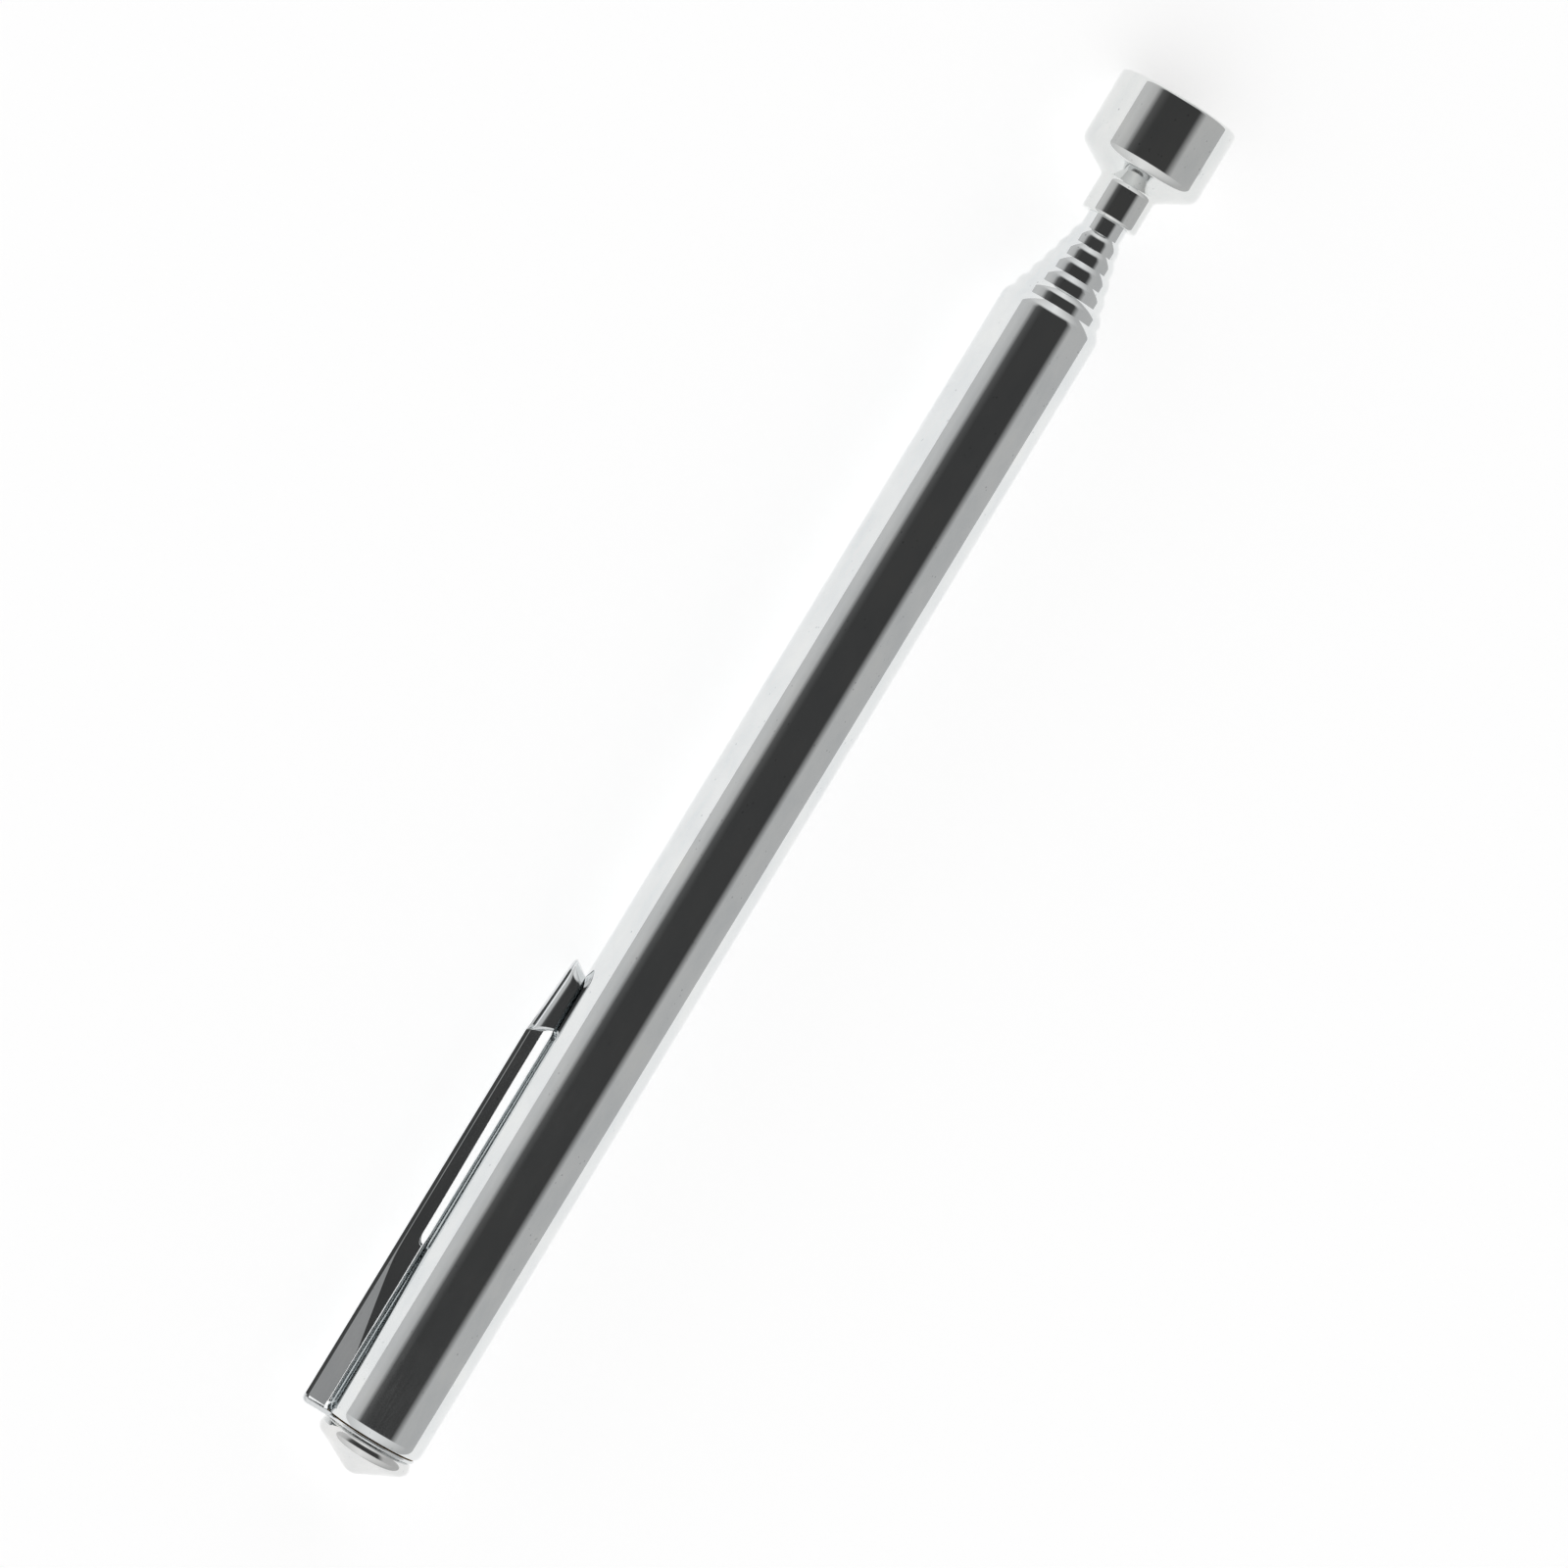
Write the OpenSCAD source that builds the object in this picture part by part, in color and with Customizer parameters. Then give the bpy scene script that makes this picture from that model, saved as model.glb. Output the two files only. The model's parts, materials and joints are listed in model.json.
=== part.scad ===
// Telescoping magnetic pickup tool, pen type, drawn closed.
//
// Frame: the tool lies on a level surface with its long axis along X and the magnet toward +X.
// +Z is up and Z = 0 is the surface, which the rim of the magnet cup touches.
// The origin is the middle of the footprint of the whole tool, on that surface.
// Each piece is first drawn about its own long axis: x along the tool from the barrel's base
// end, y out toward the pocket clip, z across the clip. place() then lays it in the frame.

/* [Barrel] */
// Outer diameter of the barrel
barrel_d = 9; // [8.8:0.1:9.4]
// Wall thickness of the barrel tube
barrel_wall = 0.3; // [0.25:0.01:0.35]
// Length of the barrel, from its base end to its rolled mouth
barrel_len = 108.8; // [100:0.1:120]
// Length over which the mouth of the barrel is rolled in
barrel_roll = 0.95; // [0.6:0.05:1.2]
// Length over which the base end of the barrel is rounded
base_round = 0.75; // [0.5:0.05:0.9]
// Length of the plug that closes the base end
plug_len = 12; // [9:0.5:14]

/* [Telescoping sections] */
// Outer diameter of the largest sliding section
section1_d = 7.9; // [7.7:0.05:8]
// Outer diameter of the second section
section2_d = 6.85; // [6.7:0.05:6.9]
// Outer diameter of the third section
section3_d = 6; // [5.9:0.05:6.05]
// Outer diameter of the fourth section
section4_d = 5.2; // [5.1:0.05:5.25]
// Outer diameter of the fifth section
section5_d = 4.4; // [4.3:0.05:4.45]
// Outer diameter of the thinnest section, which carries the magnet
section6_d = 3.6; // [3.5:0.05:3.65]
// Wall thickness of sections one to five
section_wall = 0.21; // [0.18:0.01:0.24]
// Wall thickness of the thinnest section
section6_wall = 0.4; // [0.3:0.05:0.6]
// How far each section stands out of the one around it when the tool is closed
step_out = 1.42; // [1.1:0.02:1.6]
// Length over which each section's mouth is rolled in
section_roll = 0.75; // [0.5:0.05:0.9]
// Running clearance on the radius between a mouth and the section that slides through it
mouth_gap = 0.05; // [0.04:0.01:0.08]

/* [Stops and friction springs] */
// Length of the brass stop collar at the foot of each section
collar_len = 3.5; // [2.5:0.1:5]
// Length of the split friction spring above each collar
spring_len = 9.5; // [7:0.5:12]
// Running clearance on the radius of collars and springs
slide_gap = 0.035; // [0.03:0.005:0.05]
// Width of the split in each friction spring, in degrees
spring_split = 55; // [30:5:90]

/* [Magnet head] */
// Diameter of the neck that grips the thinnest section
neck_d = 5.06; // [4.6:0.02:5.4]
// Length of the neck, up to the flare of the cup
neck_len = 2.85; // [2:0.05:4]
// Outer diameter of the magnet cup
cup_d = 10.9; // [10.6:0.1:12]
// Length of the whole head, from the foot of the neck to the magnet's face
head_len = 11.45; // [11.2:0.05:14]
// Diameter of the magnet
magnet_d = 9.24; // [8.6:0.02:9.3]
// Thickness of the magnet
magnet_t = 5.6; // [4:0.1:6]

/* [Pocket clip] */
// Distance of the clip's outer face from the tool's axis
clip_out = 6.48; // [6.2:0.02:6.8]
// Thickness of the clip's spring sheet
clip_t = 0.45; // [0.4:0.05:0.55]
// Length of the clip's arm
clip_len = 42.3; // [38:0.1:50]
// Half the width of the arm at the heel
clip_half_w = 1.8; // [1.7:0.05:2.1]
// Length of the pressed foot at the end of the arm
foot_len = 7.05; // [6:0.05:8]
// How far below the horizontal the clip lies when the tool rests on a surface, in degrees
clip_roll = 17; // [10:1:25]

/* [End cap] */
// Diameter of the domed end cap
cap_d = 8.48; // [8:0.02:8.8]
// Height of the dome, from the clip's ring to its point
cap_h = 3.1; // [2.9:0.05:4]

/* [Hidden] */
$fn = 96;

// Outer radius of tube k, where tube 0 is the barrel.
R = [barrel_d / 2, section1_d / 2, section2_d / 2, section3_d / 2, section4_d / 2, section5_d / 2, section6_d / 2];
wall = [barrel_wall, section_wall + 0.04, section_wall, section_wall, section_wall, section_wall, section6_wall];
// Bore of tube k, and where its mouth ends.
function bore(k) = R[k] - wall[k];
function top(k) = barrel_len + k * step_out;
// Every section stands on the plug when the tool is closed.
foot_gap = 0.2;
sec_x0 = plug_len + foot_gap;
lip = 0.35;
ring_t = 0.5;
stem_r = 1.25;
neck_x0 = top(5) + 1.4;
face_x = neck_x0 + head_len;
cup_r = cup_d / 2;
cap_tip = -ring_t - cap_h;
foot_x0 = clip_len - foot_len;
// How far the side walls of the arm lean out, as a share of their depth, and where they are cut away.
lean = 0.3;
heel_x1 = 15.4;
// Half widths of the arm at the heel, where the taper starts, where it slackens, and at the foot.
arm_w = [clip_half_w + 0.6, clip_half_w + 0.56, clip_half_w + 0.16, clip_half_w - 0.55];
arm_x = [0, 6, 12.8, foot_x0];
foot_w = 1.6;

// Extent of the tool across the frame, from which the origin follows.
low_y = -cup_r;
high_y = clip_out * cos(clip_roll) + clip_half_w * sin(clip_roll);
origin = [-(cap_tip + face_x) / 2, -(low_y + high_y) / 2, cup_r];

module place() translate(origin) rotate([-clip_roll, 0, 0]) children();

// A body of revolution about the tool's axis, from a profile of [radius, x].
module turned() rotate([0, 90, 0]) rotate_extrude() children();

// Points on an arc about c, from angle a0 to a1.
function arc(c, r, a0, a1, n) = [for (i = [0:n]) c + r * [cos(a0 + (a1 - a0) * i / n), sin(a0 + (a1 - a0) * i / n)]];

// The rolled-in mouth of a tube: its radius falls from r0 to r1 over the length run.
function rolled(r0, r1, x1, run, n) = [for (i = [0:n]) [r0 - (r0 - r1) * pow(i / n, 1.6), x1 - run + run * i / n]];

// A tube with a rolled mouth that guides the next section. foot is the outline of its other end.
module telescope_tube(k, x0, run, foot) {
    rm = R[k + 1] + mouth_gap;
    turned() polygon(concat(
        [[bore(k), x0]],
        foot,
        rolled(R[k], rm + 0.03, top(k), run, 6),
        [[rm, top(k) - 0.03], [rm, top(k) - lip], [bore(k), top(k) - lip]]
    ));
}

module barrel_tube() color("silver") place() difference() {
    telescope_tube(0, 0, barrel_roll, arc([R[0] - 1.4, base_round], 1.4, -asin(base_round / 1.4), 0, 6));
    // the base edge is eased on the inside for the plug
    turned() polygon([[bore(0) - 0.01, -0.01], [bore(0) + 0.02, -0.01], [bore(0) - 0.01, 0.02]]);
}

module section(k) color("gainsboro") place() telescope_tube(k, sec_x0, section_roll, arc([R[k] - 0.05, sec_x0 + 0.05], 0.05, -90, 0, 4));

module section_1() section(1);
module section_2() section(2);
module section_3() section(3);
module section_4() section(4);
module section_5() section(5);

// The thinnest section has no mouth: it runs up into the neck of the head.
module section_6() color("gainsboro") place() turned()
    polygon([[R[6] - section6_wall, sec_x0], [R[6], sec_x0], [R[6], neck_x0 + 4], [R[6] - section6_wall, neck_x0 + 4]]);

// Solid plug pressed into the base end, with a blind hole for the end cap's stem.
module base_plug() color("goldenrod") place() difference() {
    turned() polygon([[0, 0], [bore(0) - 0.15, 0], [bore(0), 0.3], [bore(0), plug_len - 0.4], [bore(0) - 0.4, plug_len], [0, plug_len]]);
    turned() translate([0, -1]) square([stem_r + 0.02, 10]);
}

// Domed cap: a shallow cone with a rounded point and a fully rounded rim, on a stem that passes through the clip's ring.
module end_cap() {
    slope = 27;
    ra = 1.6;
    rb = 0.8;
    rc = cap_d / 2;
    // where the rim is widest, and how far it curls back in before it meets the ring
    xb = cap_tip + ra - ra * cos(slope) + (rc - rb + rb * sin(slope) - ra * sin(slope)) * tan(slope) + rb * cos(slope);
    curl = asin(min(0.95, (-ring_t - xb) / rb));
    color("silver") place() union() {
        turned() polygon(concat(
            [[0, -ring_t]],
            arc([0, cap_tip + ra], ra, -90, -90 + slope, 4),
            arc([rc - rb, xb], rb, -90 + slope, curl, 10),
            [[rc - rb + rb * cos(curl) - 0.02, -ring_t]]
        ));
        turned() translate([0, -ring_t - 0.5]) square([stem_r, 9]);
    }
}

// Flat ring of the clip, clamped between the barrel and the end cap, with the tab that carries the arm.
module clip_ring() color("silver") place() rotate([0, 90, 0]) translate([0, 0, -ring_t]) linear_extrude(ring_t) difference() {
    union() {
        circle(r = cap_d / 2 - 0.05);
        translate([-clip_half_w, 0]) square([2 * clip_half_w, clip_out - 0.2]);
        translate([-clip_half_w + 0.15, 0]) square([2 * clip_half_w - 0.3, clip_out]);
    }
    circle(r = stem_r + 0.1);
}

// Outline of the arm from the side.
module clip_side() polygon([
    [0.02, clip_out], [foot_x0, clip_out], [clip_len - 0.25, clip_out - 0.45], [clip_len, clip_out - 0.65],
    [clip_len - 0.85, barrel_d / 2 + 0.05], [foot_x0 + 0.85, barrel_d / 2 + 0.05], [foot_x0 + 0.25, clip_out - 1.3],
    [heel_x1 + 1.1, clip_out - 1.43], [heel_x1 + 0.5, clip_out - 1.52], [heel_x1 + 0.15, clip_out - 1.72], [heel_x1, barrel_d / 2 + 0.1], [0.02, barrel_d / 2 + 0.1]
]);

// One side of the arm seen from outside, e inside its outline.
function arm_edge(e) = concat(
    [for (i = [0:3]) [arm_x[i], arm_w[i] - e]],
    [[foot_x0 + 0.5, foot_w - 0.1 - e], [foot_x0 + 1, foot_w - e], [clip_len - 2.6, foot_w - e], [clip_len - 1.2, foot_w - 0.45 - e], [clip_len - e, 0.5 - e / 2]]
);
// Outline of the arm from outside, which narrows to the foot.
module clip_plan(e) polygon(concat(arm_edge(e), [for (i = [8:-1:0]) [arm_edge(e)[i][0], -arm_edge(e)[i][1]]]));

// Cross-section of the arm, e inside its outline: side walls that lean out below the back.
module clip_section(e) polygon([
    [-(clip_half_w - 0.08 - e), clip_out - e], [clip_half_w - 0.08 - e, clip_out - e], [clip_half_w - e, clip_out - 0.08 - e],
    [clip_half_w + lean * 2.5 - e, clip_out - 2.5], [-(clip_half_w + lean * 2.5 - e), clip_out - 2.5], [-(clip_half_w - e), clip_out - 0.08 - e]
]);

module clip_solid(e) intersection() {
    translate([0, clip_out + 1, 0]) rotate([90, 0, 0]) linear_extrude(6) clip_plan(e);
    translate([-1, 0, 0]) rotate([90, 0, 90]) linear_extrude(clip_len + 2) mirror([1, 0]) rotate(90) clip_section(e);
}

// Arm of the clip: a shallow channel, open toward the barrel, that ends in a pressed foot.
module pocket_clip() color("silver") place() difference() {
    intersection() {
        translate([0, 0, -4]) linear_extrude(8) clip_side();
        clip_solid(0);
    }
    // the inside of the channel, open at the heel and closed by the foot
    intersection() {
        translate([-1, 0, -4]) linear_extrude(8) square([foot_x0 + 1 - clip_t, clip_out + 1]);
        clip_solid(clip_t);
    }
}

// Stop collar on the foot of section k. It slides in the bore of the tube around it.
module collar(k) color("goldenrod") place() turned() translate([R[k], sec_x0 + 0.2])
    square([bore(k - 1) - slide_gap - R[k], collar_len]);

module stop_collar_1() collar(1);
module stop_collar_2() collar(2);
module stop_collar_3() collar(3);
module stop_collar_4() collar(4);
module stop_collar_5() collar(5);
module stop_collar_6() collar(6);

// Split spring sleeve above the collar, which gives the section its friction.
module spring(k, inside) color("darkgoldenrod") place() rotate([0, 90, 0])
    rotate([0, 0, spring_split / 2 + 60 * k]) rotate_extrude(angle = 360 - spring_split)
        translate([R[k] + inside, sec_x0 + 0.2 + collar_len + (k == 6 ? 0.05 : 0)])
            square([bore(k - 1) - slide_gap - R[k] - inside, spring_len]);

module friction_spring_1() spring(1, 0.02);
module friction_spring_2() spring(2, 0.02);
module friction_spring_3() spring(3, 0.02);
module friction_spring_4() spring(4, 0.02);
module friction_spring_5() spring(5, 0.02);
module friction_spring_6() spring(6, 0.03);

// Head: neck, flare and cup turned in one piece.
module magnet_cup() {
    rn = neck_d / 2;
    pocket = magnet_d / 2 + 0.13;
    fx = neck_x0 + neck_len;
    // the flare leaves the neck through a small fillet and meets the cup in a rounded shoulder
    c2x = fx + 0.433 + (cup_r - 0.55 - rn - 0.25) * 0.577 + 0.953;
    color("silver") place() turned() polygon(concat(
        [[R[6] + 0.0, neck_x0 + 0.1], [R[6] + 0.1, neck_x0], [rn - 0.08, neck_x0], [rn, neck_x0 + 0.08]],
        arc([rn + 0.45, fx], 0.5, 180, 120, 4),
        arc([cup_r - 1.1, c2x], 1.1, -60, 0, 6),
        arc([cup_r - 0.25, face_x - 0.25], 0.25, 0, 90, 4),
        [[pocket + 0.08, face_x], [pocket, face_x - 0.08], [pocket, face_x - magnet_t], [0, face_x - magnet_t], [0, neck_x0 + 4], [R[6], neck_x0 + 4]]
    ));
}

// Disc magnet, flush with the rim of the cup.
module magnet() color("dimgray") place() turned()
    polygon([[0, face_x - magnet_t], [magnet_d / 2 - 0.15, face_x - magnet_t], [magnet_d / 2, face_x - magnet_t + 0.15],
        [magnet_d / 2, face_x - 0.18], [magnet_d / 2 - 0.18, face_x], [0, face_x]]);

// Ring of adhesive between the magnet and the wall of its pocket.
module magnet_bond() color("black") place() turned() translate([magnet_d / 2, face_x - magnet_t + 0.2])
    square([0.13, magnet_t - 0.55]);

barrel_tube();
base_plug();
end_cap();
clip_ring();
pocket_clip();
section_1();
section_2();
section_3();
section_4();
section_5();
section_6();
stop_collar_1();
stop_collar_2();
stop_collar_3();
stop_collar_4();
stop_collar_5();
stop_collar_6();
friction_spring_1();
friction_spring_2();
friction_spring_3();
friction_spring_4();
friction_spring_5();
friction_spring_6();
magnet_cup();
magnet();
magnet_bond();
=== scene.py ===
import json
import math

import bpy
import numpy as np
from mathutils import Matrix, Vector


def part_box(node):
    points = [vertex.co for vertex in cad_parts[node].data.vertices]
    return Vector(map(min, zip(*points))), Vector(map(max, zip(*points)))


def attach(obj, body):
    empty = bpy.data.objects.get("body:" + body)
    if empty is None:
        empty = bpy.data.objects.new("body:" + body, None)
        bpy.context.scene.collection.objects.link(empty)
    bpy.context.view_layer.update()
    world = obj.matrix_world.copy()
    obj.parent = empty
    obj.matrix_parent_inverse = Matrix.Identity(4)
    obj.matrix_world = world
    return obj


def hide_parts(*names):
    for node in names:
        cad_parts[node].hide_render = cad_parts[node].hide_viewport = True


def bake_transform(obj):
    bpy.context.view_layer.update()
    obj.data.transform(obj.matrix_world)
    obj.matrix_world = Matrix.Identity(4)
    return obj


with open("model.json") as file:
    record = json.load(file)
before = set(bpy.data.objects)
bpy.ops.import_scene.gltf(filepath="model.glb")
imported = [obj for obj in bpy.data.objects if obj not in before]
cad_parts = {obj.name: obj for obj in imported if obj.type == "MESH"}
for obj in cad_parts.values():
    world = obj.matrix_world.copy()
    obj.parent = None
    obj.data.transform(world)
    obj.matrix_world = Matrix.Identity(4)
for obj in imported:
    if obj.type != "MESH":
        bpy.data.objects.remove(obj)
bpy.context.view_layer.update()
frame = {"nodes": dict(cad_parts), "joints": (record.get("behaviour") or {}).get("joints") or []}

# ------------------------------------------------------------------ the tool's own axes
# x runs along the tool from the barrel's base end, y out to the clip, z across the clip, in mm.
lo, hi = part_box("barrel_tube")
X0 = lo[0]
AY = (lo[1] + hi[1]) / 2
AZ = (lo[2] + hi[2]) / 2
R0 = (hi[1] - lo[1]) * 500
hinge = [j for j in frame["joints"] if j["name"] == "clip_flex"][0]
ROLL = math.atan2(hinge["axis"][1], hinge["axis"][2])
CR, SR = math.cos(ROLL), math.sin(ROLL)
CLIP = Vector((0, CR, -SR))      # out toward the clip
SIDE = Vector((0, SR, CR))       # across the clip, toward the camera


def place(x, y, z):
    return (X0 + x / 1000, AY + (CR * y + SR * z) / 1000, AZ + (-SR * y + CR * z) / 1000)


def mm_box(node):
    a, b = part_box(node)
    return (a[0] - X0) * 1000, (b[0] - X0) * 1000, min(b[1] - a[1], b[2] - a[2]) * 500


# ------------------------------------------------------------------ mesh helpers
def make_mesh(name, verts, faces, smooth=35.0):
    me = bpy.data.meshes.new(name)
    me.from_pydata([place(*v) for v in verts], [], faces)
    me.validate()
    me.update()
    ob = bpy.data.objects.new(name, me)
    bpy.context.scene.collection.objects.link(ob)
    import bmesh
    bm = bmesh.new()
    bm.from_mesh(me)
    bmesh.ops.remove_doubles(bm, verts=bm.verts, dist=1e-8)
    bmesh.ops.recalc_face_normals(bm, faces=bm.faces)
    bm.to_mesh(me)
    bm.free()
    for p in me.polygons:
        p.use_smooth = True
    me.set_sharp_from_angle(angle=math.radians(smooth))
    return ob


def arc(cx, cr, r, a0, a1, n):
    """Points (x, radius) on an arc; an angle of 0 points outward and 90 toward +x."""
    out = []
    for i in range(n + 1):
        a = math.radians(a0 + (a1 - a0) * i / n)
        out.append((cx + r * math.sin(a), cr + r * math.cos(a)))
    return out


def supported(profile, closed, near=0.035, longest=6.0):
    """Adds points close to the ends of every long stretch, so that a bright curve beside it keeps its own shading."""
    out = []
    n = len(profile)
    for i in range(n if closed else n - 1):
        a, b = profile[i], profile[(i + 1) % n]
        out.append(a)
        d = math.dist(a, b)
        if d > near * 5:
            cuts = [near / d]
            k = int(d // longest)
            cuts += [(j + 1) / (k + 1) for j in range(k)]
            cuts.append(1 - near / d)
            for t in cuts:
                out.append((a[0] + (b[0] - a[0]) * t, a[1] + (b[1] - a[1]) * t))
    if not closed:
        out.append(profile[-1])
    return out


def lathe(name, profile, closed=False, seg=160, smooth=35.0, wobble=None):
    """Turns a profile of (x, radius) about the tool's axis. A closed profile is a ring, an open one starts and ends on the axis."""
    profile = supported(profile, closed)
    verts, rings = [], []
    for k, (x, r) in enumerate(profile):
        if r < 1e-6:
            rings.append([len(verts)])
            verts.append((x, 0.0, 0.0))
            continue
        ring = []
        for i in range(seg):
            a = 2 * math.pi * i / seg
            dx, dr = wobble(x, r, a) if wobble else (0.0, 0.0)
            ring.append(len(verts))
            verts.append((x + dx, (r + dr) * math.cos(a), (r + dr) * math.sin(a)))
        rings.append(ring)
    faces = []
    n = len(rings)
    for k in range(n if closed else n - 1):
        a, b = rings[k], rings[(k + 1) % n]
        for i in range(seg):
            j = (i + 1) % seg
            if len(a) == 1 and len(b) == 1:
                continue
            if len(a) == 1:
                faces.append((a[0], b[i], b[j]))
            elif len(b) == 1:
                faces.append((a[i], b[0], a[j]))
            else:
                faces.append((a[i], b[i], b[j], a[j]))
    return make_mesh(name, verts, faces, smooth)


def rolled(x1, run, r0, r1, n=16):
    """A tube's mouth rolled inward: the radius falls from r0 to r1 over the length run, ending at x1."""
    return [(x1 - run + run * i / n, r0 - (r0 - r1) * (i / n) ** 1.6) for i in range(n + 1)]


# ------------------------------------------------------------------ materials
def nt_new(name):
    m = bpy.data.materials.new(name)
    m.use_nodes = True
    nt = m.node_tree
    nt.nodes.clear()
    out = nt.nodes.new("ShaderNodeOutputMaterial")
    b = nt.nodes.new("ShaderNodeBsdfPrincipled")
    nt.links.new(b.outputs[0], out.inputs[0])
    return m, nt, b


def coords(nt, scale):
    """Object coordinates about the tool's axis, stretched by scale."""
    tc = nt.nodes.new("ShaderNodeTexCoord")
    mp = nt.nodes.new("ShaderNodeMapping")
    mp.inputs["Location"].default_value = (-X0 * scale[0], -AY * scale[1], -AZ * scale[2])
    mp.inputs["Scale"].default_value = scale
    nt.links.new(tc.outputs["Object"], mp.inputs["Vector"])
    return mp.outputs["Vector"]


def noise(nt, vec, detail=3.0, rough=0.55, scale=1.0):
    n = nt.nodes.new("ShaderNodeTexNoise")
    n.inputs["Scale"].default_value = scale
    n.inputs["Detail"].default_value = detail
    n.inputs["Roughness"].default_value = rough
    nt.links.new(vec, n.inputs["Vector"])
    return n.outputs["Fac"]


def ramp(nt, fac, stops, interp="LINEAR"):
    r = nt.nodes.new("ShaderNodeValToRGB")
    r.color_ramp.interpolation = interp
    el = r.color_ramp.elements
    while len(el) > 1:
        el.remove(el[-1])
    el[0].position = stops[0][0]
    el[0].color = stops[0][1]
    for p, c in stops[1:]:
        e = el.new(p)
        e.color = c
    nt.links.new(fac, r.inputs["Fac"])
    return r.outputs["Color"]


def grey(v):
    return (v, v, v, 1.0)


def math_node(nt, op, a, b=None, c=None, clamp=False):
    n = nt.nodes.new("ShaderNodeMath")
    n.operation = op
    n.use_clamp = clamp
    for i, x in enumerate((a, b, c)):
        if x is None:
            continue
        if isinstance(x, (int, float)):
            n.inputs[i].default_value = x
        else:
            nt.links.new(x, n.inputs[i])
    return n.outputs[0]


def mix_col(nt, fac, a, b):
    n = nt.nodes.new("ShaderNodeMix")
    n.data_type = "RGBA"
    for sock, x in ((n.inputs["Factor"], fac), (n.inputs["A"], a), (n.inputs["B"], b)):
        if isinstance(x, (int, float)):
            sock.default_value = x
        elif isinstance(x, tuple):
            sock.default_value = x
        else:
            nt.links.new(x, sock)
    return n.outputs["Result"]


def bump(nt, height, strength, distance, normal=None):
    b = nt.nodes.new("ShaderNodeBump")
    b.inputs["Strength"].default_value = strength
    b.inputs["Distance"].default_value = distance
    nt.links.new(height, b.inputs["Height"])
    if normal is not None:
        nt.links.new(normal, b.inputs["Normal"])
    return b.outputs["Normal"]


def chrome(name, tint=(0.80, 0.815, 0.815), rough=(0.035, 0.085), draw=0.25, peel=0.3, turned=0.0, pits=0.5):
    """Bright plate: a slightly mottled colour, a film of handling marks, fine lengthwise draw lines or turning rings, and pits."""
    m, nt, b = nt_new(name)
    b.inputs["Metallic"].default_value = 1.0
    # colour: faint cloudy variation and pin-point pits
    cloud = noise(nt, coords(nt, (220, 420, 420)), 4.0, 0.6)
    col = ramp(nt, cloud, [(0.32, (tint[0] * 0.93, tint[1] * 0.94, tint[2] * 0.95, 1)), (0.6, (*tint, 1)), (0.8, (min(1, tint[0] * 1.04), min(1, tint[1] * 1.03), tint[2] * 1.01, 1))])
    v = nt.nodes.new("ShaderNodeTexVoronoi")
    v.feature = "F1"
    v.inputs["Scale"].default_value = 1.0
    v.inputs["Randomness"].default_value = 1.0
    nt.links.new(coords(nt, (1700, 2300, 2300)), v.inputs["Vector"])
    keep = noise(nt, coords(nt, (900, 1100, 1100)), 2.0, 0.5)
    pit = math_node(nt, "MULTIPLY", ramp(nt, v.outputs["Distance"], [(0.0, grey(1)), (0.13, grey(0.9)), (0.2, grey(0))]), ramp(nt, keep, [(0.56, grey(0)), (0.64, grey(1))]))
    pit_fac = math_node(nt, "MULTIPLY", pit, pits)
    col = mix_col(nt, pit_fac, col, (0.42, 0.43, 0.44, 1))
    nt.links.new(col, b.inputs["Base Color"])
    # roughness: smudges along the tube and small dull patches
    smudge = noise(nt, coords(nt, (70, 240, 240)), 5.0, 0.62)
    grain = noise(nt, coords(nt, (260, 4200, 4200)), 2.0, 0.5)
    mixed = math_node(nt, "MULTIPLY_ADD", grain, 0.35, math_node(nt, "MULTIPLY", smudge, 0.65))
    mr = nt.nodes.new("ShaderNodeMapRange")
    mr.inputs["From Min"].default_value = 0.35
    mr.inputs["From Max"].default_value = 0.7
    mr.inputs["To Min"].default_value = rough[0]
    mr.inputs["To Max"].default_value = rough[1]
    nt.links.new(mixed, mr.inputs["Value"])
    nt.links.new(mr.outputs["Result"], b.inputs["Roughness"])
    # surface: a soft orange peel, draw lines along the tube, turning rings about it
    peel_h = noise(nt, coords(nt, (420, 800, 800)), 2.0, 0.5)
    normal = bump(nt, peel_h, peel, 0.000004)
    if draw:
        lines = noise(nt, coords(nt, (35, 6500, 6500)), 2.0, 0.6)
        normal = bump(nt, lines, draw, 0.0000012, normal)
    if turned:
        rings = noise(nt, coords(nt, (9000, 20, 20)), 2.0, 0.6)
        normal = bump(nt, rings, turned, 0.0000015, normal)
    nt.links.new(normal, b.inputs["Normal"])
    return m


def plain_metal(name, c0, c1, rough, turned=0.4):
    """Turned or rolled brass and bronze with a little tarnish."""
    m, nt, b = nt_new(name)
    b.inputs["Metallic"].default_value = 1.0
    t = noise(nt, coords(nt, (300, 700, 700)), 4.0, 0.6)
    nt.links.new(ramp(nt, t, [(0.35, (*c0, 1)), (0.65, (*c1, 1))]), b.inputs["Base Color"])
    nt.links.new(ramp(nt, t, [(0.3, grey(rough[0])), (0.7, grey(rough[1]))]), b.inputs["Roughness"])
    rings = noise(nt, coords(nt, (6000, 60, 60)), 3.0, 0.6)
    nt.links.new(bump(nt, rings, turned, 0.000003), b.inputs["Normal"])
    return m


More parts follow.
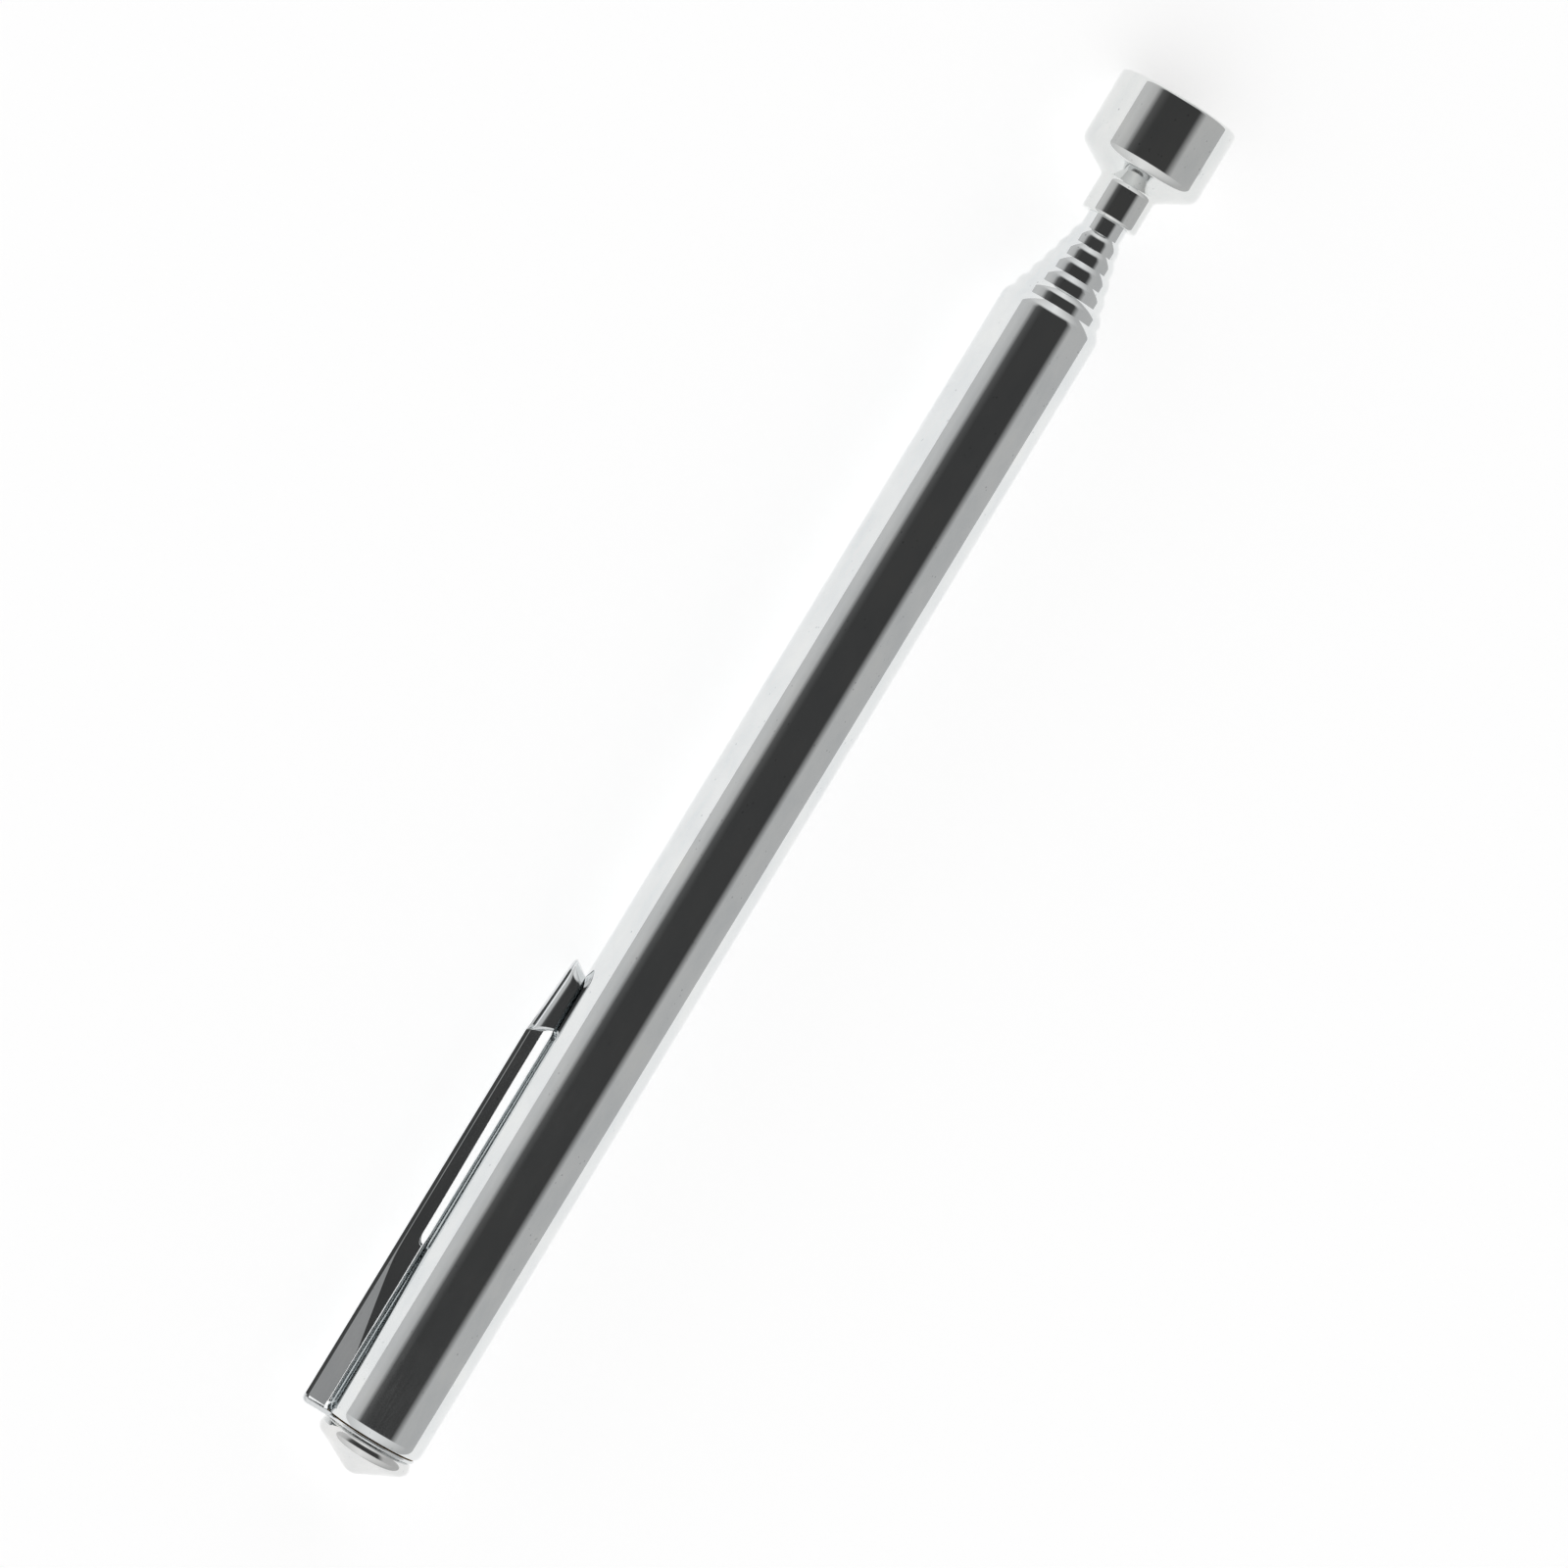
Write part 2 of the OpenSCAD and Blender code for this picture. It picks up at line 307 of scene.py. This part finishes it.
M_BARREL = chrome("chrome_barrel")
M_SECTION = chrome("chrome_sections", rough=(0.05, 0.11), draw=0.5, peel=0.2)
M_HEAD = chrome("chrome_head", tint=(0.79, 0.80, 0.79), rough=(0.04, 0.10), draw=0.0, turned=0.35, peel=0.35, pits=0.7)
M_CLIP = chrome("chrome_clip", tint=(0.77, 0.785, 0.79), rough=(0.05, 0.12), draw=0.35, peel=0.45, pits=0.6)
M_CAP = chrome("chrome_cap", tint=(0.80, 0.80, 0.79), rough=(0.05, 0.12), draw=0.0, turned=0.3, peel=0.35)
M_BRASS = plain_metal("turned_brass", (0.55, 0.38, 0.14), (0.78, 0.58, 0.27), (0.22, 0.38))
M_BRONZE = plain_metal("rolled_bronze", (0.45, 0.26, 0.13), (0.66, 0.42, 0.24), (0.25, 0.42), 0.2)


def magnet_material():
    m, nt, b = nt_new("nickel_magnet")
    b.inputs["Metallic"].default_value = 1.0
    t = noise(nt, coords(nt, (500, 520, 520)), 5.0, 0.65)
    col = ramp(nt, t, [(0.3, (0.40, 0.39, 0.37, 1)), (0.55, (0.56, 0.55, 0.53, 1)), (0.75, (0.63, 0.62, 0.60, 1))])
    nt.links.new(col, b.inputs["Base Color"])
    scr = noise(nt, coords(nt, (300, 260, 7000)), 3.0, 0.7)
    scr2 = noise(nt, coords(nt, (300, 5200, 600)), 3.0, 0.7)
    both = math_node(nt, "MULTIPLY_ADD", scr2, 0.5, math_node(nt, "MULTIPLY", scr, 0.5))
    nt.links.new(ramp(nt, both, [(0.38, grey(0.2)), (0.62, grey(0.42))]), b.inputs["Roughness"])
    nt.links.new(bump(nt, both, 0.5, 0.000006), b.inputs["Normal"])
    return m


def bond_material():
    m, nt, b = nt_new("cured_adhesive")
    t = noise(nt, coords(nt, (900, 900, 900)), 4.0, 0.6)
    nt.links.new(ramp(nt, t, [(0.3, (0.012, 0.012, 0.013, 1)), (0.7, (0.035, 0.034, 0.032, 1))]), b.inputs["Base Color"])
    nt.links.new(ramp(nt, t, [(0.3, grey(0.35)), (0.7, grey(0.6))]), b.inputs["Roughness"])
    nt.links.new(bump(nt, t, 0.6, 0.00003), b.inputs["Normal"])
    return m


M_MAGNET = magnet_material()
M_BOND = bond_material()


def finish_piece(ob, mat, body, slot, *nodes):
    ob.data.materials.clear()
    ob.data.materials.append(mat)
    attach(ob, body)
    if nodes:
        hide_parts(*nodes)
    return ob


# ------------------------------------------------------------------ barrel and sections
OD = [R0] + [mm_box("section_%d" % k)[2] for k in range(1, 7)]
X_A = [0.0] + [mm_box("section_%d" % k)[0] for k in range(1, 7)]
X_B = [mm_box("barrel_tube")[1]] + [mm_box("section_%d" % k)[1] for k in range(1, 7)]
WALL = [0.30, 0.25, 0.21, 0.21, 0.21, 0.21, 0.40]


def tube(k, run, foot, gap=0.05):
    r = OD[k]
    mouth = OD[k + 1] + gap
    x1 = X_B[k]
    p = list(foot)
    p += rolled(x1, run, r, mouth + 0.035)
    p += arc(x1 - 0.035, mouth + 0.035, 0.035, 90, 180, 3)
    p += [(x1 - 0.33, mouth), (x1 - 0.35, mouth + 0.02), (x1 - 0.35, r - WALL[k] - 0.02), (x1 - 0.37, r - WALL[k]), (X_A[k] + 0.04, r - WALL[k]), (X_A[k], r - WALL[k] + 0.04)]
    return p


# the barrel's base end is spun to a soft round over its last 0.75 mm
base_in = 1.4 - math.sqrt(1.4 ** 2 - 0.72 ** 2)
base_foot = [(0.0, R0 - base_in - 0.045), (0.012, R0 - base_in - 0.018), (0.03, R0 - base_in)]
base_foot += arc(0.75, R0 - 1.4, 1.4, -math.degrees(math.asin(0.72 / 1.4)), 0, 22)[1:]
finish_piece(lathe("barrel", tube(0, 0.95, base_foot), closed=True, seg=192), M_BARREL, "barrel", "chrome_barrel", "barrel_tube")
for k in range(1, 6):
    foot_arc = arc(X_A[k] + 0.05, OD[k] - 0.05, 0.05, -90, 0, 6)
    finish_piece(lathe("sliding_section_%d" % k, tube(k, 0.75, foot_arc), closed=True, seg=144), M_SECTION, "slide_%d" % k, "chrome_sections", "section_%d" % k)
r6 = OD[6]
p6 = arc(X_A[6] + 0.06, r6 - 0.06, 0.06, -90, 0, 4) + [(X_B[6], r6), (X_B[6], r6 - WALL[6]), (X_A[6], r6 - WALL[6])]
finish_piece(lathe("sliding_section_6", p6, closed=True, seg=128), M_SECTION, "head", "chrome_sections", "section_6")

# ------------------------------------------------------------------ head
hx0, hx1, cup_r = mm_box("magnet_cup")
neck_r = 2.53
fx = hx0 + 2.85
c2x = fx + 0.433 + (cup_r - 0.55 - neck_r - 0.25) * 0.577 + 0.953
mag_x0, mag_x1, mag_r = mm_box("magnet")
pocket = mag_r + 0.13
head = [(hx0 + 0.12, r6 + 0.01), (hx0 + 0.02, r6 + 0.11)]
# the foot of the neck is crimped in over its first quarter of a millimetre
head += [(hx0, neck_r - 0.13), (hx0 + 0.012, neck_r - 0.10), (hx0 + 0.04, neck_r - 0.075)]
head += arc(hx0 + 0.29, neck_r - 0.45, 0.45, -33, 0, 8)
head += [(fx + 0.5 * math.sin(a), neck_r + 0.45 - 0.5 * math.cos(a) + 0.05) for a in [math.radians(60 * i / 10) for i in range(11)]]
head += arc(c2x, cup_r - 1.1, 1.1, -60, 0, 18)
head += arc(hx1 - 0.33, cup_r - 0.33, 0.33, 0, 90, 12)
head += arc(hx1 - 0.06, pocket + 0.06, 0.06, 90, 180, 4)
head += [(mag_x0, pocket), (mag_x0, 0.0)]
head = head[::-1]
# closed through the socket for the thinnest section
head_profile = [(mag_x0, 0.0)] + head[1:] + [(hx0 + 4.0, r6 + 0.01), (hx0 + 4.0, 0.0)]
finish_piece(lathe("magnet_head", head_profile, seg=192, smooth=32), M_HEAD, "head", "chrome_head", "magnet_cup")

mag = [(mag_x0, 0.0), (mag_x0, mag_r - 0.12)] + arc(mag_x0 + 0.12, mag_r - 0.12, 0.12, -90, 0, 4)
mag += arc(mag_x1 - 0.16, mag_r - 0.16, 0.16, 0, 90, 6) + [(mag_x1, 0.0)]
finish_piece(lathe("disc_magnet", mag, seg=160), M_MAGNET, "head", "magnet_face", "magnet")


def meniscus(x, r, a):
    if x > mag_x1 - 1.0:
        return (-0.05 * (1 + math.sin(3 * a + 0.6)) - 0.04 * (1 + math.sin(7 * a + 2.1)) - 0.02 * (1 + math.sin(17 * a)), 0.0)
    return (0.0, 0.0)


bx0, bx1, br = mm_box("magnet_bond")
bond = [(bx0, mag_r + 0.003), (bx0, br - 0.003), (bx1 + 0.05, br - 0.003), (bx1 - 0.02, br - 0.045), (bx1 - 0.02, mag_r + 0.045), (bx1 + 0.05, mag_r + 0.003)]
finish_piece(lathe("magnet_adhesive", bond, closed=True, seg=160, wobble=meniscus), M_BOND, "head", "adhesive", "magnet_bond")

# ------------------------------------------------------------------ end cap
cx0, cx1, cap_r = mm_box("end_cap")
slope = math.radians(27)
ra, rb = 1.6, 0.8
tip = cx0
xb = tip + ra - ra * math.cos(slope) + (cap_r - rb + rb * math.sin(slope) - ra * math.sin(slope)) * math.tan(slope) + rb * math.cos(slope)
cap = [(tip, 0.0)]
cap += [(tip + ra - ra * math.cos(a), ra * math.sin(a)) for a in [slope * i / 10 for i in range(1, 11)]]
cap += [(xb - rb * math.cos(a), cap_r - rb + rb * math.sin(a)) for a in [slope + (math.pi / 2 - slope) * i / 14 for i in range(15)]]
curl = math.asin(min(0.95, (-0.5 - xb) / rb))
cap += [(xb + rb * math.sin(a), cap_r - rb + rb * math.cos(a)) for a in [curl * i / 12 for i in range(1, 13)]]
cap += [(-0.5, cap_r - rb + rb * math.cos(curl) - 0.03), (-0.5, 1.3), (-0.5, 1.25), (cx1 - 0.15, 1.25), (cx1, 1.1), (cx1, 0.0)]
finish_piece(lathe("domed_end_cap", cap, seg=160), M_CAP, "barrel", "chrome_cap", "end_cap")

# ------------------------------------------------------------------ pocket clip
ax0, ax1, _ = mm_box("pocket_clip")
OUT = 6.48                      # outer face of the arm from the axis
T = 0.45                        # sheet thickness
HALF = 1.8                      # half width of the back at the heel
FOOT0, END = 35.25, ax1
FOOT_W = 1.6
BAND, LEAN0, LEAN1, LEAN2 = 0.34, 0.19, 0.366, 0.16
NT, NC, NF = 9, 6, 20           # rows across half the back, round its edge, down the side


def smooth(a, b, x):
    t = min(1.0, max(0.0, (x - a) / (b - a)))
    return t * t * (3 - 2 * t)


def half(x):
    return HALF - 0.0199 * x


def side_depth(x):
    """Depth of the side wall below the back: full at the heel, cut away past it with a small radius."""
    full = OUT - (R0 + 0.06)
    low = 1.47 - 0.14 * smooth(16, 32, x)
    u = (x - 15.5) / 1.0
    if u <= 0:
        return full
    if u >= 1:
        return low
    return low + (full - low) * (1 - math.sqrt(1 - (1 - u) ** 2.2))


def crease(x):
    """Depth of the fold that runs across the side wall from its foot, by the heel, up to the back."""
    d = 0.60 + 0.183 * (12.6 - x)
    k = 0.12
    return 0.42 + k * math.log(1 + math.exp((d - 0.42) / k)) if (d - 0.42) / k < 40 else d


def wall_z(x, d):
    c = crease(x)
    z = half(x) + LEAN0 * min(d, BAND)
    if d > BAND:
        z += LEAN1 * (min(d, max(c, BAND)) - BAND)
    if d > c:
        z += LEAN2 * (d - c)
    return z


def channel(x):
    """Half section of the arm: (z, depth) on the outside, from the middle of the back to the foot of the side wall."""
    rc = 0.07
    dmax = side_depth(x)
    zt = wall_z(x, rc)
    pts = []
    for i in range(NT):
        q = i / (NT - 1)
        pts.append(((zt - rc) * q, 0.025 * q * q))
    for i in range(1, NC):
        a = math.pi / 2 * i / NC
        pts.append((zt - rc + rc * math.sin(a), 0.025 + (rc - 0.025) * (1 - math.cos(a))))
    c = min(crease(x), dmax - 0.05)
    ds = [rc, rc + 0.03, 0.19, BAND - 0.02, BAND, BAND + 0.02]
    n1 = 6
    a0, a1 = BAND + 0.02, max(c - 0.02, BAND + 0.05)
    ds += [a0 + (a1 - a0) * i / n1 for i in range(1, n1 + 1)]
    ds += [c]
    n2 = NF - len(ds) - 1
    b0 = min(c + 0.02, dmax - 0.02)
    ds += [b0 + (dmax - b0) * i / n2 for i in range(n2 + 1)]
    for d in ds:
        pts.append((wall_z(x, d), d))
    return pts


def foot(w, depth):
    """Half section of the foot: a flat deck with a thin rim over a full, rounded hull."""
    k = depth / 1.75
    zd = 0.80 * w
    rim = min(0.15, 0.2 * w)
    pts = []
    for i in range(NT):
        q = i / (NT - 1)
        pts.append(((zd - rim) * q, 0.02 * q * q))
    # rim: a slope that faces up and out, with a step in under it
    pts.append((zd - 0.8 * rim, 0.035 * k))
    pts.append((zd - 0.38 * rim, 0.12 * k))
    pts.append((zd, 0.20 * k))
    pts.append((zd - 0.1 * rim, 0.24 * k))
    pts.append((zd - 0.3 * rim, 0.27 * k))
    f0, f1 = math.radians(52), math.radians(-30)
    n = NF - 5
    for i in range(n):
        f = f0 + (f1 - f0) * i / (n - 1)
        pts.append((w * (1 - 0.7375 * (1 - math.cos(f))), (1.234 - 1.18 * math.sin(f)) * k))
    z1, d1 = pts[-1]
    for i in range(1, 6):
        a = math.pi / 2 * i / 5
        pts.append((z1 - 0.22 * w * (1 - math.cos(a)) - 0.02 * i, min(depth, d1 + (depth - d1) * math.sin(a))))
    return pts


def inset(pts, t):
    """The same half section, moved in by the sheet's thickness."""
    out = []
    n = len(pts)
    for i, (z, d) in enumerate(pts):
        a = pts[max(0, i - 1)]
        b = pts[min(n - 1, i + 1)]
        if i == 0:
            tz, td = 1.0, 0.0
        else:
            tz, td = b[0] - a[0], b[1] - a[1]
        ln = math.hypot(tz, td) or 1.0
        nz, nd = -td / ln, tz / ln
        out.append((max(0.0 if i == 0 else 0.02, z + nz * t), d + nd * t))
    return out


def inner_channel(x):
    """Inside of the arm, in step with channel()."""
    outer = channel(x)
    zt = half(x) - T
    dmax = side_depth(x)
    pts = []
    for i in range(NT):
        pts.append(((zt - 0.12) * i / (NT - 1), T))
    for i in range(1, NC):
        a = math.pi / 2 * i / NC
        pts.append((zt - 0.12 + 0.12 * math.sin(a), T + 0.12 * (1 - math.cos(a))))
    d0 = T + 0.12
    for i in range(NF):
        d = d0 + (dmax - d0) * i / (NF - 1)
        pts.append((wall_z(x, d) - T * 1.04, d))
    return pts


def inner_foot(w, depth, t):
    """Inside of the pressed foot: a smooth cup under the deck."""
    pts = []
    zi = max(0.03, 0.66 * w - 0.3 * t)
    for i in range(NT):
        pts.append((zi * i / (NT - 1), t))
    zw = max(zi + 0.01, w - t)
    n = NC - 1 + NF
    for i in range(1, n + 1):
        q = i / n
        if q < 0.4:
            a = math.pi / 2 * q / 0.4
            pts.append((zi + (zw - zi) * math.sin(a), t + (0.5 * depth - t) * (1 - math.cos(a))))
        else:
            u = (q - 0.4) / 0.6
            pts.append((zw - (zw - max(0.02, 0.52 * w - 0.5 * t)) * u ** 2.2, 0.5 * depth + 0.5 * depth * u))
    return pts


def flat(h, rnd):
    """Half section of the flat tab, whose edge is rolled over toward its outer face."""
    outer, inner = [], []
    n = NC - 1 + NF
    for i in range(NT):
        outer.append(((h - rnd) * i / (NT - 1), 0.0))
        inner.append(((h - 0.04) * i / (NT - 1), T))
    for i in range(1, n + 1):
        a = math.pi / 2 * i / n
        outer.append((h - rnd + rnd * math.sin(a), 0.92 * T * (1 - math.cos(a))))
        inner.append((h - 0.04 + 0.04 * math.sin(a), T - 0.08 * T * (1 - math.cos(a))))
    return outer, inner


def lerp(a, b, t):
    return [(p[0] + (q[0] - p[0]) * t, p[1] + (q[1] - p[1]) * t) for p, q in zip(a, b)]


stations = []   # (origin x, origin y, normal x, normal y, outer, inner, shear)
RB = 0.50       # outer radius of the bend at the heel
XP = -0.475     # outer face of the tab
tab_out, tab_in = flat(HALF, 0.30)
for y in (3.1, 3.8, 4.4, 5.0, 5.5, OUT - RB - 0.03, OUT - RB):
    stations.append((XP, y, -1.0, 0.0, tab_out, tab_in, None))
for i in range(1, 13):
    a = math.pi / 2 * i / 12
    stations.append((XP + RB - RB * math.cos(a), OUT - RB + RB * math.sin(a), -math.cos(a), math.sin(a), tab_out, tab_in, None))
for x in (0.08, 0.21):
    stations.append((x, OUT, 0.0, 1.0, tab_out, tab_in, None))
arm_x = [0.22, 0.25, 0.32]
x = 0.45
while x < 15.3:
    arm_x.append(x)
    x += 0.2
arm_x += [15.3, 15.4, 15.5] + [15.5 + i / 18 for i in range(1, 19)] + [16.6]
x = 17.1
while x < FOOT0 - 0.3:
    arm_x.append(x)
    x += 0.6
arm_x += [FOOT0 - 0.2, FOOT0 - 0.08, FOOT0 - 0.02]
for x in arm_x:
    stations.append((x, OUT, 0.0, 1.0, channel(x), inner_channel(x), None))

# the foot: its ends slope, so a point's place along it depends on its depth
TAUS = [0.0, 0.005, 0.01, 0.016, 0.022, 0.028, 0.034, 0.04, 0.05, 0.065, 0.085, 0.115, 0.15, 0.2, 0.26, 0.33, 0.40, 0.47, 0.54, 0.60, 0.66, 0.71, 0.76, 0.80, 0.83, 0.86, 0.885, 0.91, 0.93, 0.95, 0.965, 0.978, 0.988, 0.995, 1.0]
last, last_in = channel(FOOT0), inner_channel(FOOT0)
for tau in TAUS:
    top = OUT - 0.035 - 0.42 * tau
    depth = top - (R0 + 0.05)
    grow = smooth(0.0, 0.034, tau)
    w = half(FOOT0) + 0.30 + (FOOT_W - half(FOOT0) - 0.30) * smooth(0.0, 0.06, tau)
    if tau > 0.76:
        u = (tau - 0.76) / 0.24
        w = 0.3 + (FOOT_W - 0.3) * (1 - u ** 2.3) ** 0.8
    t = T * 0.8 if w > 1.0 else max(0.04, T * 0.8 * w)
    sec = lerp(last, foot(w, depth), grow)
    ins = lerp(last_in, inner_foot(w, depth, t), grow)

    def shear(d, tau=tau, depth=depth):
        q = min(1.0, max(0.0, d / depth))
        left = 0.85 * q
        right = -0.2 + 0.2 * math.sin(math.pi / 2 * min(1.0, q / 0.16)) - 0.85 * max(0.0, (q - 0.16) / 0.84) ** 1.1
        return left + (right - left) * tau

    stations.append((FOOT0 + tau * (END - FOOT0), OUT + (top - OUT) * smooth(0.0, 0.06, tau), 0.0, 1.0, sec, ins, shear))


def clip_arm_mesh():
    verts, faces = [], []
    n = NT + NC - 1 + NF
    rings = []
    for ox, oy, nx, ny, outer, inner, shear in stations:
        assert len(outer) == n and len(inner) == n
        ring = []
        loop = [(-z, d) for z, d in reversed(outer[1:])] + list(outer) + list(reversed(inner)) + [(-z, d) for z, d in inner[1:]]
        for z, d in loop:
            ring.append(len(verts))
            dx = shear(d) if shear else 0.0
            verts.append((ox - nx * d + dx, oy - ny * d, z))
        rings.append(ring)
    m = len(rings[0])
    for a, b in zip(rings, rings[1:]):
        for i in range(m):
            j = (i + 1) % m
            faces.append((a[i], b[i], b[j], a[j]))
    for ring in (rings[0], rings[-1]):
        # outer row i faces inner row m - 1 - i
        rows = 2 * n - 1
        for i in range(rows - 1):
            faces.append((ring[i], ring[i + 1], ring[m - 2 - i], ring[m - 1 - i]))
    return make_mesh("pocket_clip_sheet", verts, faces, smooth=24)


clip = clip_arm_mesh()
ring_r = cap_r - 0.05
ring_prof = arc(-0.25, ring_r - 0.185, 0.185, -90, 90, 18) + [(-0.065, 1.35), (-0.435, 1.35)]
ring_ob = lathe("clip_ring_sheet", ring_prof, closed=True, seg=160)
boo = clip.modifiers.new("join", "BOOLEAN")
boo.operation = "UNION"
boo.solver = "EXACT"
boo.object = ring_ob
dg = bpy.context.evaluated_depsgraph_get()
joined = bpy.data.meshes.new_from_object(clip.evaluated_get(dg))
clip.modifiers.clear()
if len(joined.polygons) > 1000:
    clip.data = joined
bpy.data.objects.remove(ring_ob)
for p in clip.data.polygons:
    p.use_smooth = True
clip.data.set_sharp_from_angle(angle=math.radians(24))
clip.name = "pocket_clip_sheet"
clip.data.materials.clear()
clip.data.materials.append(M_CLIP)
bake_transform(clip)
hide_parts("pocket_clip", "clip_ring")

# ------------------------------------------------------------------ hidden pieces keep their CAD shape
for n, ob in frame["nodes"].items():
    if n.startswith("stop_collar") or n == "base_plug":
        mat = M_BRASS
    elif n.startswith("friction_spring"):
        mat = M_BRONZE
    else:
        continue
    ob.data.materials.clear()
    ob.data.materials.append(mat)

# ------------------------------------------------------------------ floor: plain and pale
fl = bpy.data.meshes.new("floor")
S = 30.0
fl.from_pydata([(-S, -S, 0), (S, -S, 0), (S, S, 0), (-S, S, 0)], [], [(0, 1, 2, 3)])
floor = bpy.data.objects.new("floor", fl)
bpy.context.scene.collection.objects.link(floor)
fm, nt, b = nt_new("pale_floor")
b.inputs["Base Color"].default_value = (0.80, 0.80, 0.80, 1)
b.inputs["Roughness"].default_value = 0.9
b.inputs["Specular IOR Level"].default_value = 0.0
b.inputs["Emission Color"].default_value = (1.0, 1.0, 1.0, 1)
b.inputs["Emission Strength"].default_value = 0.6
floor.data.materials.append(fm)

# ------------------------------------------------------------------ camera, at the photograph's viewing angle
cam_d = bpy.data.cameras.new("camera")
cam = bpy.data.objects.new("camera", cam_d)
bpy.context.scene.collection.objects.link(cam)
MPP = 0.081 / 1000              # metres of the axis plane to one of 1600 divisions of the frame
DIST = 8500 * MPP
cam_d.sensor_width = 36.0
cam_d.lens = 36.0 * 8500 / 1600
cam_d.clip_start = 0.05
cam_d.clip_end = 100
TILT = math.radians(31.26)
# frame centre in tool coordinates: 63.6 mm along, 1.25 mm to the side away from the clip
centre = Vector(place(63.6, -1.25, 0))
right = Vector((1, 0, 0)) * math.sin(TILT) - CLIP * math.cos(TILT)
up = Vector((1, 0, 0)) * math.cos(TILT) + CLIP * math.sin(TILT)
back = SIDE
cam.matrix_world = Matrix(((right[0], up[0], back[0], centre[0] + back[0] * DIST), (right[1], up[1], back[1], centre[1] + back[1] * DIST), (right[2], up[2], back[2], centre[2] + back[2] * DIST), (0, 0, 0, 1)))
bpy.context.scene.camera = cam

# ------------------------------------------------------------------ studio: two soft neutral panels, one on each side, with an unlit gap between them overhead
world = bpy.data.worlds.new("studio")
bpy.context.scene.world = world
world.use_nodes = True
nt = world.node_tree
nt.nodes.clear()
wout = nt.nodes.new("ShaderNodeOutputWorld")
tc = nt.nodes.new("ShaderNodeTexCoord")


def dot(vec):
    n = nt.nodes.new("ShaderNodeVectorMath")
    n.operation = "DOT_PRODUCT"
    nt.links.new(tc.outputs["Generated"], n.inputs[0])
    n.inputs[1].default_value = vec
    return n.outputs["Value"]


def soft_span(value, lo, hi):
    m = nt.nodes.new("ShaderNodeMapRange")
    m.interpolation_type = "SMOOTHSTEP"
    m.inputs["From Min"].default_value = lo
    m.inputs["From Max"].default_value = hi
    nt.links.new(value, m.inputs["Value"])
    return m.outputs["Result"]


u_x = dot((1, 0, 0))
# 0 degrees toward the main view, negative toward the clip's side
ang = math_node(nt, "MULTIPLY", math_node(nt, "ARCTAN2", dot(tuple(-CLIP)), dot(tuple(SIDE))), 180 / math.pi)
fac = math_node(nt, "MULTIPLY_ADD", ang, 1 / 360, 0.5)


def panels(stops):
    return ramp(nt, fac, [(d / 360 + 0.5, grey(v)) for d, v in stops])


sides = panels([(-180, 0.6), (-90, 0.6), (-60, 0.6), (-45, 0.5), (-35, 0.1), (-20, 0.05), (40, 0.05), (55, 0.5), (90, 0.5), (180, 0.6)])
ends = panels([(-180, 0.6), (-90, 0.6), (0, 0.9), (90, 0.5), (180, 0.6)])
# the same panels close the gap off at both ends
gap = math_node(nt, "MULTIPLY", soft_span(u_x, -0.14, -0.10), math_node(nt, "SUBTRACT", 1.0, soft_span(u_x, 0.6, 0.8)))
light = mix_col(nt, gap, ends, sides)

see = nt.nodes.new("ShaderNodeBackground")
nt.links.new(light, see.inputs["Color"])
see.inputs["Strength"].default_value = 1.0
backdrop = nt.nodes.new("ShaderNodeBackground")
backdrop.inputs["Color"].default_value = (0.93, 0.93, 0.93, 1)
lp = nt.nodes.new("ShaderNodeLightPath")
mx = nt.nodes.new("ShaderNodeMixShader")
nt.links.new(lp.outputs["Is Camera Ray"], mx.inputs["Fac"])
nt.links.new(see.outputs[0], mx.inputs[1])
nt.links.new(backdrop.outputs[0], mx.inputs[2])
nt.links.new(mx.outputs[0], wout.inputs["Surface"])

bpy.context.scene.cycles.max_bounces = 16
bpy.context.scene.cycles.glossy_bounces = 12
bpy.context.scene.cycles.diffuse_bounces = 4

bpy.context.scene.view_settings.view_transform = "Standard"
bpy.context.scene.view_settings.look = "None"
bpy.context.scene.view_settings.exposure = 0.0
bpy.context.scene.view_settings.gamma = 1.0
